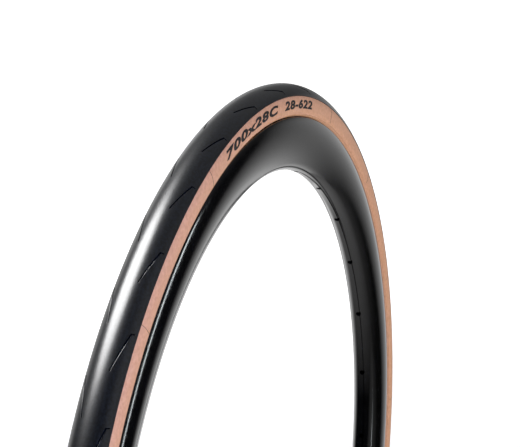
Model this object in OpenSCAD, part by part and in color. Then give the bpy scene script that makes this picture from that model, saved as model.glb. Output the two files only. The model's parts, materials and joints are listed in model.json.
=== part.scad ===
// Bicycle tyre seated and inflated on a deep hollow rim, with its tubeless valve.
// The wheel's centre is the origin, its axle line is Y and Z points up.
// Profiles are drawn with x as the distance from the axle line and y along the axle.

/* [Tyre] */
// Diameter of the bead seats
bead_seat_d = 622; // [559:1:630]
// Width of the section across the sidewalls
tyre_w = 28; // [26.5:0.5:30.5]
// Height of the section from the bead seat to the crown
tyre_h = 29.8; // [28.5:0.1:32]
// Thickness of the tan sidewall skin
skin_t = 0.5; // [0.4:0.05:0.7]
// Thickness of the woven casing
casing_t = 0.8; // [0.6:0.05:1]
// Thickness of the airtight liner
liner_t = 0.4; // [0.3:0.05:0.6]
// Thickness of the puncture belt under the tread
belt_t = 0.4; // [0.3:0.05:0.6]
// Width of the puncture belt, measured round the casing
belt_w = 16; // [10:0.5:20]
// Thickness of the tread rubber over the belt at the crown
tread_t = 1.3; // [1.1:0.1:2.2]
// Width across the two edges of the tread
tread_w = 25.6; // [23:0.2:26]
// Height of the tread's edge above the sidewall skin
tread_step = 0.4; // [0.2:0.05:0.6]
// Radius of the raised fitting line on each sidewall
fit_line_r = 0.3; // [0.2:0.05:0.5]
// Distance of the fitting line from the rim lip, measured up the sidewall
fit_line_rise = 4.2; // [3:0.1:5.5]

/* [Tread grooves] */
// Grooves along each side of the tread
groove_n = 36; // [18:1:48]
// Width of a groove
groove_w = 0.8; // [0.5:0.1:1.2]
// Depth of a groove
groove_depth = 0.6; // [0.3:0.05:0.7]
// Distance from the centre line to the inner end of a groove
groove_inner = 5; // [3:0.1:6]
// Distance from the centre line to the bend of a groove
groove_bend = 10.3; // [8.5:0.1:10.8]
// Length of a groove round the wheel, from its inner end to its bend
groove_len = 25.8; // [15:0.1:27]
// Reach of the short hook beyond the bend, across the tread
hook_w = 1.4; // [0.8:0.1:1.6]
// Reach of the short hook beyond the bend, round the wheel
hook_len = 0.7; // [0:0.1:1.2]
// Angle of the first groove's inner end from the top of the wheel
groove_phase = 1; // [0:0.1:9]

/* [Bead] */
// Diameter of the folding bead's fibre core
bead_core_d = 2.4; // [2:0.1:2.6]
// Thickness of the casing where it is turned up round the core
bead_wrap_t = 0.6; // [0.4:0.05:0.7]
// Height of the chafer above the rim lip, measured up the sidewall
chafer_rise = 0.4; // [0.2:0.1:1.8]

/* [Rim] */
// Depth of the rim from its lip to the spoke bed
rim_depth = 40.2; // [35:0.1:50]
// Greatest width of the rim
rim_w = 27.8; // [26:0.1:30]
// Depth of the widest level below the lip
widest_drop = 11.4; // [9:0.1:13]
// Outer width across the two lips
lip_w = 24.7; // [24:0.1:25.5]
// Width between the two lips, where the beads sit
inner_w = 19; // [18.4:0.1:19.6]
// Height of the lip above the bead seat
lip_h = 5.5; // [5:0.1:6]
// Rounding of the lip's corners
lip_rad = 0.7; // [0.5:0.05:0.9]
// Rounding of the rim's inner edge
nose_rad = 10; // [8:0.1:11.5]
// Width of the flat spoke bed
bed_w = 4.8; // [4.6:0.1:6]
// Wall of the rim's flanks
flank_t = 1.6; // [1:0.1:2.2]
// Wall of the spoke bed
bed_t = 3; // [2:0.1:4]
// Wall of the tyre bed
floor_t = 1.6; // [1:0.1:2.2]
// Depth of the centre well below the bead seats
well_drop = 3.8; // [3:0.1:4.5]
// Width of the well's floor
well_w = 8.8; // [8.6:0.1:9.4]
// Width of the well at the level of the bead seats
well_top_w = 11.8; // [11:0.1:12.6]
// Number of spoke holes, an even number
spoke_n = 28; // [20:2:32]
// Diameter of a spoke hole
spoke_hole_d = 4.5; // [3.6:0.1:4.5]
// Diameter of the access hole above each spoke hole
access_d = 7; // [6:0.1:8]
// Thickness of the airtight rim tape
tape_t = 0.25; // [0.15:0.05:0.4]
// Width of the rim tape laid flat between the lips
tape_w = 18.4; // [17.6:0.1:18.8]

/* [Valve] */
// Diameter of the valve stem
stem_d = 6; // [5.6:0.1:6.4]
// Length of the stem above the spoke bed
stem_out = 24; // [22:0.5:34]
// Diameter of the air passage through the stem
air_d = 3.2; // [2.6:0.1:3.4]
// Diameter of the core's socket in the stem
socket_d = 4.6; // [4.4:0.05:4.7]
// Depth of the core's socket
socket_l = 17; // [16:0.5:20]
// Diameter of the stem's foot and of the widest part of its grommet
foot_d = 8.6; // [8:0.1:9]
// Thickness of the stem's foot
foot_t = 1.5; // [1:0.1:1.8]
// Height of the rubber grommet below the foot
grommet_h = 3; // [2.4:0.1:3.4]
// Diameter of the grommet's lower end
grommet_d = 7.4; // [7.2:0.1:8]
// Length of the core below the stem's mouth, without its nose
core_l = 8; // [6:0.5:9]
// Diameter of the core's nose, which carries its sealing ring
core_nose_d = 3.4; // [3:0.1:3.6]
// Length of the core's nose
core_nose_l = 3; // [2.4:0.1:4]
// Diameter of the core's collar on the stem's mouth
collar_d = 5.4; // [5:0.1:5.5]
// Height of the core's collar
collar_h = 1.6; // [1:0.1:2]
// Width across the two spanner flats of the collar
flats_w = 4.6; // [4.2:0.1:4.9]
// Diameter of the core's neck above the collar
neck_d = 3.4; // [3:0.1:4]
// Height of the core's neck above the collar
neck_h = 3; // [2:0.1:4]
// Length of the core's sealing ring
core_seal_l = 1.6; // [1:0.1:2.2]
// Diameter of the core pin
pin_d = 1.4; // [1.2:0.1:1.6]
// Travel of the core pin when it is pressed
pin_travel = 2.4; // [1.5:0.1:3]
// Diameter of the pin's head and of its rubber seal
pin_head_d = 2.8; // [2.4:0.1:3.2]
// Thickness of the pin's rubber seal
pin_seal_t = 1; // [0.6:0.1:1.4]
// Thickness of the pin's head
pin_head_t = 0.8; // [0.5:0.1:1.2]
// Diameter of the thumb nut
thumb_d = 4.4; // [4:0.1:4.6]
// Height of the thumb nut
thumb_h = 3; // [2.4:0.1:3.6]
// Travel of the thumb nut up the pin
thumb_travel = 3; // [2:0.1:4]
// Diameter of the lock nut
lock_d = 11; // [10:0.1:13]
// Height of the lock nut
lock_h = 4; // [3:0.1:5]
// Diameter of the lock nut's sealing ring
lock_seal_d = 9.4; // [8.6:0.1:9.8]
// Thickness of the lock nut's sealing ring
lock_seal_t = 1.4; // [1:0.1:2]
// Diameter of the cap at its mouth
cap_d = 7.8; // [7.4:0.1:9]
// Diameter of the cap near its closed end
cap_tip_d = 6.8; // [6.6:0.1:7.2]
// Wall at the cap's closed end
cap_end_t = 1; // [0.8:0.1:1.6]
// Length of the stem that the cap covers
cap_grip = 7; // [5:0.5:8]

/* [Fits] */
// Cement line between bonded or seated pieces of one assembly
bond = 0.02; // [0.01:0.01:0.05]
// Gap between the tyre's bead and the rim tape or lip
bead_gap = 0.1; // [0.05:0.05:0.2]
// Gap between the sidewall and the rounded lip
lip_gap = 0.2; // [0.1:0.05:0.4]
// Gap round the stem in the rim and the tape
stem_gap = 0.25; // [0.15:0.05:0.4]
// Radial gap of a thread or a sliding pin
thread_gap = 0.05; // [0.03:0.01:0.08]
// Free gap between pieces that move past each other
free_gap = 0.3; // [0.2:0.05:0.5]
// Gap between the lock nut's sealing ring and the spoke bed
seat_gap = 0.15; // [0.1:0.05:0.3]

/* [Hidden] */

// Levels of the rim, as distances from the axle line
seat_r = bead_seat_d / 2;
lip_r = seat_r + lip_h;
bed_r = lip_r - rim_depth;
widest_r = lip_r - widest_drop;
well_r = seat_r - well_drop;

// Rim flank: an upper arc from the widest level to the lip, a lower arc to the nose
flank_y = rim_w / 2;
edge_in = (rim_w - lip_w) / 2;
upper_rad = (pow(widest_drop, 2) + pow(edge_in, 2)) / (2 * edge_in);
nose_c = bed_r + sqrt(pow(nose_rad, 2) - pow(bed_w / 2, 2));
nose_drop = widest_r - nose_c;
flank_rad = (pow(nose_drop, 2) + pow(flank_y, 2) - pow(nose_rad, 2)) / (2 * (flank_y - nose_rad));
nose_turn = atan2(flank_rad - flank_y, -nose_drop);
bed_turn = 180 - asin(bed_w / 2 / nose_rad);

// Lip corners
lip_c = lip_r - lip_rad;
lip_in_y = inner_w / 2 + lip_rad;
lip_turn = acos((lip_c - widest_r) / (upper_rad - lip_rad));
lip_out_y = flank_y - upper_rad + (upper_rad - lip_rad) * sin(lip_turn);

// Slope between the well and the bead seat
well_slope = atan2(well_drop, (well_top_w - well_w) / 2);
well_shift = tan(well_slope / 2);

// Depths of the tyre's layers below its outer surface
casing_in = skin_t + casing_t;
liner_in = casing_in + liner_t;

// Tyre section: an upper circle, a short straight wall and a lower arc that clears the lip
crown_r = seat_r + tyre_h;
side_y = tyre_w / 2;
casing_out = side_y - skin_t;
sec_r = crown_r - tread_t - belt_t - casing_out;
neck_y = inner_w / 2 - bead_gap;
lip_reach = lip_rad + lip_gap;
low_y = neck_y - liner_in;
low_rad = side_y - low_y;
low_r = lip_c + sqrt(pow(low_rad + lip_reach, 2) - pow(low_y - lip_in_y, 2));

// Tread arc through the crown and the two edges
edge_r = sec_r + sqrt(pow(side_y + tread_step, 2) - pow(tread_w / 2, 2));
tread_rad = (pow(crown_r - edge_r, 2) + pow(tread_w / 2, 2)) / (2 * (crown_r - edge_r));
tread_c = crown_r - tread_rad;
tread_turn = atan2(tread_w / 2, edge_r - tread_c);
edge_turn = atan2(tread_w / 2, edge_r - sec_r);
belt_turn = belt_w / 2 / casing_out * 180 / PI;
bond_turn = bond / casing_out * 180 / PI;
low_bond_turn = bond / low_rad * 180 / PI;

// Bead
core_rad = bead_core_d / 2;
wrap_rad = core_rad + bead_wrap_t;
bead_rad = wrap_rad + skin_t;
bead_r = seat_r + tape_t + bead_gap + bead_rad;
bead_y = neck_y - bead_rad;
skin_turn = neck_turn(0) - chafer_rise / low_rad * 180 / PI;
fit_line_turn = neck_turn(0) - fit_line_rise / low_rad * 180 / PI;
fit_line_span = fit_line_r / low_rad * 180 / PI;

// Levels along the valve, as distances from the axle line
foot_r = well_r + tape_t + bond + grommet_h;
mouth_r = bed_r - stem_out;
socket_r = mouth_r + socket_l;
core_r = mouth_r + core_l;
core_end_r = core_r + core_nose_l;
neck_r = mouth_r - collar_h - neck_h;
pin_seal_r = core_end_r + free_gap / 2;
pin_head_r = pin_seal_r + pin_seal_t;
thumb_r = neck_r - pin_travel - free_gap;
pin_tip_r = thumb_r - thumb_h - thumb_travel;
lock_seal_r = bed_r - seat_gap;
lock_r = lock_seal_r - lock_seal_t - bond;
cap_mouth_r = mouth_r + cap_grip;
cap_step_r = neck_r;
cap_end_r = pin_tip_r - 2 * free_gap;
thread_d = stem_d + 2 * thread_gap;

// Fineness of the arcs and the reach of a cut beyond a surface
arc_n = 14;
short_n = 4;
$fn = 180;
cut = 1;

tan_wall = [0.80, 0.60, 0.49];
rubber_black = [0.13, 0.13, 0.14];
cord_grey = [0.55, 0.52, 0.46];
carbon_black = [0.09, 0.09, 0.10];
brass = [0.78, 0.66, 0.36];

// Points of an arc about [cx, cy], with angles from the x direction
function arc(cx, cy, rad, a0, a1, n = arc_n) =
    [for (i = [0 : n]) let (a = a0 + (a1 - a0) * i / n) [cx + rad * cos(a), cy + rad * sin(a)]];

function reversed(pts) = [for (i = [len(pts) - 1 : -1 : 0]) pts[i]];

// The same outline on the other side of the wheel's middle plane, run backwards
function mirrored(pts) = [for (p = reversed(pts)) [p[0], -p[1]]];

// Angle on the lower sidewall arc where the wall turns down beside the lip
function neck_turn(depth) = 180 - asin((neck_y - depth - low_y) / (low_rad - depth));

// Tyre wall at a depth below its outer surface, from one angle of the section to another
function upper_wall(depth, a0) = arc(sec_r, 0, side_y - depth, a0, 90);
function lower_wall(depth, a0, a1, n = arc_n) = arc(low_r, low_y, low_rad - depth, a0, a1, n);
function wall(depth, a0, a1) = concat(upper_wall(depth, a0), lower_wall(depth, 90, a1));

// Underside of the rim's channel, raised by a lift off the rim
function channel(lift) = [
    [seat_r + lift, well_top_w / 2 - lift * well_shift],
    [well_r + lift, well_w / 2 - lift * well_shift]
];

function unit(v) = v / norm(v);

// Point and outward direction on the tread, x round the wheel and y across it
function tread_turn_at(y) = asin(y / tread_rad);
function tread_point(x, y) =
    let (t = x / crown_r * 180 / PI, r = tread_c + tread_rad * cos(tread_turn_at(y)))
    [r * sin(t), y, r * cos(t)];
function tread_out(x, y) =
    let (t = x / crown_r * 180 / PI, c = cos(tread_turn_at(y)))
    [c * sin(t), y / tread_rad, c * cos(t)];

// Revolves a profile about the axle line
module ring() {
    rotate([-90, 0, 0])
        rotate_extrude()
            children();
}

module on_side(side) {
    if (side > 0) children();
    else mirror([0, 1, 0]) children();
}

// Puts a piece that stands on the axle line with its height along Z at the valve
module at_valve() {
    rotate([0, 180, 0]) children();
}

// Turned piece on the valve's axis, from [radius, distance from the axle line] points
module turned(pts) {
    rotate_extrude() polygon(pts);
}

// Curved cutter that follows the tread from one point to another
module groove_cutter(x0, y0, x1, y1) {
    p0 = tread_point(x0, y0);
    p1 = tread_point(x1, y1);
    top = tread_point((x0 + x1) / 2, (y0 + y1) / 2);
    out = tread_out((x0 + x1) / 2, (y0 + y1) / 2);
    along = unit(p1 - p0);
    up = unit(out - along * (out * along));
    across = cross(along, up);
    rise = (top - (p0 + p1) / 2) * up;
    rad = (pow(norm(p1 - p0) / 2, 2) + pow(rise, 2)) / (2 * rise);
    half = asin(norm(p1 - p0) / 2 / rad);
    centre = top - up * rad;
    multmatrix([
        [along[0], up[0], across[0], centre[0]],
        [along[1], up[1], across[1], centre[1]],
        [along[2], up[2], across[2], centre[2]]
    ])
        rotate([0, 0, 90 - half])
            rotate_extrude(angle = 2 * half)
                translate([rad - groove_depth, -groove_w / 2])
                    square([groove_depth + cut, groove_w]);
}

module groove(side) {
    groove_cutter(0, side * groove_inner, groove_len, side * groove_bend);
    groove_cutter(groove_len, side * groove_bend, groove_len + hook_len, side * (groove_bend + hook_w));
}

module tread_cap() {
    pitch = 360 / groove_n;
    base = casing_out + bond;
    over_belt = casing_out + belt_t + bond;
    belt_edge = belt_turn + bond_turn;
    inner = concat(
        arc(sec_r, 0, base, -edge_turn, -belt_edge),
        arc(sec_r, 0, over_belt, -belt_edge, belt_edge),
        arc(sec_r, 0, base, belt_edge, edge_turn)
    );
    color(rubber_black)
        difference() {
            ring() polygon(concat(arc(tread_c, 0, tread_rad, tread_turn, -tread_turn, 2 * arc_n), inner));
            for (i = [0 : groove_n - 1]) {
                rotate([0, groove_phase + i * pitch, 0]) groove(-1);
                rotate([0, groove_phase + (i + 0.5) * pitch, 0]) groove(1);
            }
        }
}

module puncture_belt() {
    color([0.75, 0.70, 0.35])
        ring() polygon(concat(
            arc(sec_r, 0, casing_out + belt_t, -belt_turn, belt_turn),
            arc(sec_r, 0, casing_out + bond, belt_turn, -belt_turn)
        ));
}

// One ply from bead to bead, turned up round each bead core
module casing() {
    outer = concat(
        wall(skin_t, 0, neck_turn(skin_t)),
        arc(bead_r, bead_y, wrap_rad, 90, 270)
    );
    inner = wall(casing_in, 0, neck_turn(casing_in));
    half = concat(outer, reversed(inner));
    color(cord_grey)
        ring() difference() {
            union() {
                polygon(half);
                polygon(mirrored(half));
                polygon(casing_crown());
            }
            for (side = [-1, 1]) translate([bead_r, side * bead_y]) circle(core_rad);
        }
}

// Short stretch of the casing that joins its two halves across the crown
function casing_crown() = concat(
    arc(sec_r, 0, side_y - skin_t, 90 / arc_n, -90 / arc_n, 2),
    arc(sec_r, 0, side_y - casing_in, -90 / arc_n, 90 / arc_n, 2)
);

// Tan skin with the raised line that shows whether the bead sits evenly
module sidewall(side) {
    start = edge_turn + bond_turn;
    fit_line = arc(
        low_r + low_rad * cos(fit_line_turn), low_y + low_rad * sin(fit_line_turn),
        fit_line_r, fit_line_turn - 90, fit_line_turn + 90, 6
    );
    outer = concat(
        wall(0, start, fit_line_turn - fit_line_span),
        fit_line,
        lower_wall(0, fit_line_turn + fit_line_span, skin_turn)
    );
    inner = wall(skin_t - bond, start, skin_turn);
    color(tan_wall)
        ring() on_side(side) polygon(concat(outer, reversed(inner)));
}

module bead_core(side) {
    color([0.85, 0.75, 0.30])
        ring() on_side(side) translate([bead_r, bead_y]) circle(core_rad - bond);
}

// Rubbing strip from the sidewall, down beside the lip and round under the bead
module chafer(side) {
    inner_depth = skin_t - bond;
    start = skin_turn + low_bond_turn;
    outer = concat(
        lower_wall(0, start, neck_turn(0), short_n),
        arc(bead_r, bead_y, bead_rad, 90, 270)
    );
    inner = concat(
        lower_wall(inner_depth, start, neck_turn(inner_depth), short_n),
        arc(bead_r, bead_y, wrap_rad + bond, 90, 270)
    );
    color(rubber_black)
        ring() on_side(side) polygon(concat(outer, reversed(inner)));
}

module inner_liner() {
    end = neck_turn(liner_in);
    half = concat(
        wall(casing_in + bond, 0, end),
        reversed(wall(liner_in, 0, end))
    );
    crown = concat(
        arc(sec_r, 0, side_y - casing_in - bond, 90 / arc_n, -90 / arc_n, 2),
        arc(sec_r, 0, side_y - liner_in, -90 / arc_n, 90 / arc_n, 2)
    );
    color([0.18, 0.18, 0.18])
        ring() union() {
            polygon(half);
            polygon(mirrored(half));
            polygon(crown);
        }
}

// Half of the rim's outline, from the middle of the spoke bed round to the well
function rim_outline() = concat(
    [[bed_r, 0]],
    arc(nose_c, 0, nose_rad, bed_turn, nose_turn),
    arc(widest_r, flank_y - flank_rad, flank_rad, nose_turn, 90),
    arc(widest_r, flank_y - upper_rad, upper_rad, 90, lip_turn),
    arc(lip_c, lip_out_y, lip_rad, lip_turn, 0, 4),
    arc(lip_c, lip_in_y, lip_rad, 0, -90, 4),
    [[seat_r, inner_w / 2]],
    channel(0),
    [[well_r, 0]]
);

// Half of the rim's hollow, one wall inside its outline
function rim_hollow() =
    let (
        bed_top = bed_r + bed_t,
        shelf = seat_r - floor_t,
        start = acos((bed_top - nose_c) / (nose_rad - flank_t)),
        end = acos((shelf - widest_r) / (upper_rad - flank_t))
    )
    concat(
        [[bed_top, 0]],
        arc(nose_c, 0, nose_rad - flank_t, start, nose_turn),
        arc(widest_r, flank_y - flank_rad, flank_rad - flank_t, nose_turn, 90),
        arc(widest_r, flank_y - upper_rad, upper_rad - flank_t, 90, end),
        channel(-floor_t),
        [[well_r - floor_t, 0]]
    );

// Hole towards the axle line at an angle from the top of the wheel
module radial_hole(turn, d, from_r, to_r) {
    rotate([0, turn, 0])
        translate([0, 0, from_r])
            cylinder(d = d, h = to_r - from_r);
}

module rim_hoop() {
    pitch = 360 / spoke_n;
    mid_r = (bed_r + well_r) / 2;
    color(carbon_black)
        difference() {
            ring() difference() {
                polygon(concat(rim_outline(), mirrored(rim_outline())));
                polygon(concat(rim_hollow(), mirrored(rim_hollow())));
            }
            for (i = [0 : spoke_n - 1]) {
                radial_hole((i + 0.5) * pitch, spoke_hole_d, bed_r - cut, mid_r);
                radial_hole((i + 0.5) * pitch, access_d, mid_r, well_r + cut);
            }
            radial_hole(180, stem_d + 2 * stem_gap, bed_r - cut, well_r + cut);
        }
}

// Tape over the access holes, from bead seat to bead seat, pierced for the valve
module rim_tape() {
    lower = concat([[seat_r + bond, tape_w / 2]], channel(bond));
    upper = concat([[seat_r + tape_t, tape_w / 2]], channel(tape_t));
    color([0.85, 0.80, 0.45])
        difference() {
            ring() polygon(concat(
                lower, mirrored(lower), reversed(mirrored(upper)), reversed(upper)
            ));
            radial_hole(180, stem_d + 2 * stem_gap, well_r - cut, seat_r + cut);
        }
}

module valve_stem() {
    color(brass)
        at_valve() turned([
            [air_d / 2, foot_r + foot_t],
            [air_d / 2, socket_r],
            [socket_d / 2, socket_r],
            [socket_d / 2, mouth_r],
            [stem_d / 2, mouth_r],
            [stem_d / 2, foot_r],
            [foot_d / 2, foot_r],
            [foot_d / 2, foot_r + foot_t / 2],
            [foot_d / 2 - foot_t / 2, foot_r + foot_t]
        ]);
}

module valve_grommet() {
    base_r = foot_r - grommet_h;
    color(rubber_black)
        at_valve() turned([
            [stem_d / 2 + bond, base_r],
            [grommet_d / 2, base_r],
            [foot_d / 2, foot_r - grommet_h / 2],
            [foot_d / 2, foot_r - bond],
            [stem_d / 2 + bond, foot_r - bond]
        ]);
}

// Core with a long threaded part, a nose for its sealing ring and a collar with two flats
module valve_core_body() {
    hole_d = pin_d + 2 * thread_gap;
    color(brass)
        at_valve() difference() {
            turned([
                [hole_d / 2, core_end_r],
                [core_nose_d / 2, core_end_r],
                [core_nose_d / 2, core_r],
                [socket_d / 2 - bond, core_r],
                [socket_d / 2 - bond, mouth_r - bond],
                [collar_d / 2, mouth_r - bond],
                [collar_d / 2, mouth_r - collar_h],
                [neck_d / 2, mouth_r - collar_h],
                [neck_d / 2, neck_r],
                [hole_d / 2, neck_r]
            ]);
            for (side = [-1, 1])
                translate([side * (flats_w + collar_d) / 2, 0, mouth_r - collar_h / 2 - bond])
                    cube([collar_d, collar_d + cut, collar_h], center = true);
        }
}

module valve_core_seal() {
    color([0.90, 0.90, 0.88])
        at_valve() turned([
            [core_nose_d / 2 + bond, core_r + bond],
            [socket_d / 2 - bond, core_r + bond],
            [socket_d / 2 - bond, core_r + core_seal_l],
            [core_nose_d / 2 + bond, core_r + core_seal_l]
        ]);
}

module valve_core_pin() {
    color(brass)
        at_valve() turned([
            [0, pin_head_r + pin_head_t],
            [pin_head_d / 2, pin_head_r + pin_head_t],
            [pin_head_d / 2, pin_head_r],
            [pin_d / 2, pin_head_r],
            [pin_d / 2, pin_tip_r + pin_d / 4],
            [pin_d / 4, pin_tip_r],
            [0, pin_tip_r]
        ]);
}

module valve_pin_seal() {
    color(rubber_black)
        at_valve() turned([
            [pin_d / 2 + bond, pin_seal_r],
            [pin_head_d / 2, pin_seal_r],
            [pin_head_d / 2, pin_head_r - bond],
            [pin_d / 2 + bond, pin_head_r - bond]
        ]);
}

// Round nut on the valve's axis with grip flutes, from its lower level towards the axle line
module grip_nut(level, height, d, hole_d, flutes, flute_d) {
    bevel = height / 8;
    difference() {
        turned([
            [hole_d / 2, level],
            [d / 2 - bevel, level],
            [d / 2, level - bevel],
            [d / 2, level - height + bevel],
            [d / 2 - bevel, level - height],
            [hole_d / 2, level - height]
        ]);
        for (i = [0 : flutes - 1])
            rotate([0, 0, i * 360 / flutes])
                translate([d / 2 + flute_d / 4, 0, level - height - cut])
                    cylinder(d = flute_d, h = height + 2 * cut, $fn = 24);
    }
}

module valve_thumb_nut() {
    color(brass)
        at_valve() grip_nut(thumb_r, thumb_h, thumb_d, pin_d + 2 * thread_gap, 12, thumb_d / 6);
}

module valve_lock_nut() {
    color(carbon_black)
        at_valve() grip_nut(lock_r, lock_h, lock_d, thread_d, 16, lock_d / 9);
}

module lock_nut_seal() {
    bevel = lock_seal_t / 4;
    color(rubber_black)
        at_valve() turned([
            [thread_d / 2, lock_seal_r],
            [lock_seal_d / 2 - bevel, lock_seal_r],
            [lock_seal_d / 2, lock_seal_r - bevel],
            [lock_seal_d / 2, lock_seal_r - lock_seal_t + bevel],
            [lock_seal_d / 2 - bevel, lock_seal_r - lock_seal_t],
            [thread_d / 2, lock_seal_r - lock_seal_t]
        ]);
}

// Closed cap that grips the stem's thread and leaves room for the raised thumb nut
module valve_cap() {
    room_d = thumb_d + 2 * free_gap;
    tip = cap_end_r - cap_end_t;
    dome = cap_tip_d / 4;
    color(rubber_black)
        at_valve() turned(concat(
            [
                [thread_d / 2, cap_mouth_r],
                [cap_d / 2, cap_mouth_r],
                [cap_d / 2, mouth_r],
                [cap_tip_d / 2, cap_step_r]
            ],
            [for (a = [0 : 15 : 90]) [cap_tip_d / 2 - dome + dome * cos(a), tip + dome - dome * sin(a)]],
            [
                [0, tip],
                [0, cap_end_r],
                [room_d / 2, cap_end_r],
                [room_d / 2, cap_step_r],
                [thread_d / 2, cap_step_r]
            ]
        ));
}

tread_cap();
puncture_belt();
casing();
sidewall(1);  // sidewall_left
sidewall(-1);  // sidewall_right
bead_core(1);  // bead_core_left
bead_core(-1);  // bead_core_right
chafer(1);  // chafer_left
chafer(-1);  // chafer_right
inner_liner();
rim_hoop();
rim_tape();
valve_stem();
valve_grommet();
valve_core_body();
valve_core_seal();
valve_core_pin();
valve_pin_seal();
valve_thumb_nut();
valve_lock_nut();
lock_nut_seal();
valve_cap();
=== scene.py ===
"""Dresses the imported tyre, rim and valve: smooth skins, tread grooves, materials, light and camera."""

import json
import math

import bmesh
import bpy
import numpy as np
from mathutils import Matrix, Vector


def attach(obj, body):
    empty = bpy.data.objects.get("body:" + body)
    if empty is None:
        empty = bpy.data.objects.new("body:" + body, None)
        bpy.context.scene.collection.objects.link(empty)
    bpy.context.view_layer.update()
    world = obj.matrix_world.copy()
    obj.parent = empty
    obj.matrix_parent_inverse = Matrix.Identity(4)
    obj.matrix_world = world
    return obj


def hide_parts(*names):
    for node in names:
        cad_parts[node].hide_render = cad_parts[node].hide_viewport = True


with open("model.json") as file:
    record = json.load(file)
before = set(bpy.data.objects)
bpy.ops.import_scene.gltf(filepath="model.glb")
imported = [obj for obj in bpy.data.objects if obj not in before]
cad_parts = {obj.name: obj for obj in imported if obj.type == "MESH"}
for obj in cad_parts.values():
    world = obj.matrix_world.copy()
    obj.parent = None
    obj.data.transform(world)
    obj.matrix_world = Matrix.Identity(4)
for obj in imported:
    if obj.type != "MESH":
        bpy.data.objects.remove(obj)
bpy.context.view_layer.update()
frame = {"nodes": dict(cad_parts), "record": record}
nodes = frame["nodes"]
scene = bpy.context.scene

# Sizes of the object are in millimetres and its angles in degrees, with the part's own values.
# r is the distance from the axle line and y the place along it. Meshes and the stage are in metres.
MM = 0.001

# Tyre
BEAD_SEAT_D = 622.0
TYRE_W = 28.0
TYRE_H = 29.8
SKIN_T = 0.5
CASING_T = 0.8
LINER_T = 0.4
BELT_T = 0.4
TREAD_T = 1.3
TREAD_W = 25.6
TREAD_STEP = 0.4
FIT_LINE_RISE = 4.2
CHAFER_RISE = 0.4
BOND = 0.02
BEAD_GAP = 0.1
LIP_GAP = 0.2

# Underside of the tread: half the angle of the belt's recess, the angle of its step, and a point beyond
BELT_TURN = 36.0
BELT_STEP_TURN = 1.0
UNDER_TURN = 50.0

# Angle between the tread's edge and the start of the tan skin
SKIN_GAP_TURN = 0.1

# Raised fitting line: half the angle of its round, and half its foot as a share of its radius
FIT_LINE_RAD = 0.3
FIT_LINE_ROUND = 75.0
FIT_LINE_FOOT = 1.5

# Tread grooves, with half widths of their floors and a chamfer on the stroke's outer edge
GROOVE_N = 36
GROOVE_W = 0.8
GROOVE_DEPTH = 0.6
GROOVE_INNER = 5.0
GROOVE_BEND = 10.3
GROOVE_LEN = 25.8
GROOVE_PHASE = 1.0
HOOK_W = 1.4
HOOK_LEN = 0.7
STROKE_FLOOR = 0.36
HOOK_FLOOR = 0.33
EDGE_W = 0.09
EDGE_DEPTH = 0.08

# Size marks on the sidewall: words with the angles of their ends, and the band they fill
SIZE_MARKS = (("700x28C", -16.0, 2.0), ("28-622", 4.5, 15.5))
MARK_TOP = -4.0
MARK_FOOT = 2.8
MARK_LIFT = 0.1
MARK_LEAN = 0.15
MARK_BOLD = 0.045
MARK_SPACING = 1.12
MARK_ROWS = 6
MARK_COLUMNS = 24

# Moulding seams across the sidewall. The marks take the place of one of them.
SEAM_N = 16
SEAM_PHASE = -20.6
SEAM_W = 0.32
SEAM_TOP_SHARE = 0.6
SEAM_LIFT = 0.1
SEAM_END = 5.6
SEAM_STEPS = 14
MARKED_SEAM = 1

# Depth of the foot of a mark or seam in the skin
SINK = 0.05

# Rim
RIM_W = 27.8
RIM_DEPTH = 40.2
WIDEST_DROP = 11.4
LIP_W = 24.7
INNER_W = 19.0
LIP_H = 5.5
LIP_RAD = 0.7
NOSE_RAD = 10.0
BED_W = 4.8
FLANK_T = 1.6
BED_T = 3.0
FLOOR_T = 1.6
WELL_DROP = 3.8
WELL_W = 8.8
WELL_TOP_W = 11.8
WELL_WALL = 0.6
SPOKE_N = 28
SPOKE_HOLE_D = 4.5
ACCESS_D = 7.0
TAPE_T = 0.25

# Parting line of the mould, beside the spoke bed
CREASE_W = 1.5
CREASE_DEPTH = 1.2
CREASE_SLOPE = 0.1

# Valve stem
STEM_D = 6.0
STEM_OUT = 24.0
STEM_GAP = 0.25
AIR_D = 3.2
SOCKET_D = 4.6
SOCKET_L = 17.0
FOOT_D = 8.6
FOOT_T = 1.5
GROMMET_H = 3.0
MOUTH_BEVEL = 0.35

# Thread of the stem: its crest as a share of the pitch, its ends and the way over which it runs out
THREAD_PITCH = 0.8
THREAD_DEPTH = 0.28
THREAD_CREST = 1 / 6
THREAD_LEAD = 0.4
THREAD_PAST_BED = 4.0
THREAD_RUNOUT = 1.0

# Fineness of the meshes: angles of sharp edges, steps of rounds, least lengths and reach of cuts
SHARP = 35.0
RIM_SHARP = 30.0
THREAD_SHARP = 40.0
SKIN_STEPS = 480
RIM_STEPS = 16 * SPOKE_N
HOLE_SIDES = 40
STEM_SIDES = 48
THREAD_STEPS = 8
MARK_CURVE_STEPS = 6
RIM_SLIVER = 0.002
WELD = 1e-5
NEAR = 1e-6
CUT = 2.0
CUT_GAP = 1.0

# Levels of the rim
SEAT_R = BEAD_SEAT_D / 2
LIP_R = SEAT_R + LIP_H
LIP_C = LIP_R - LIP_RAD
BED_R = LIP_R - RIM_DEPTH
WIDEST_R = LIP_R - WIDEST_DROP
WELL_R = SEAT_R - WELL_DROP

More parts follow.
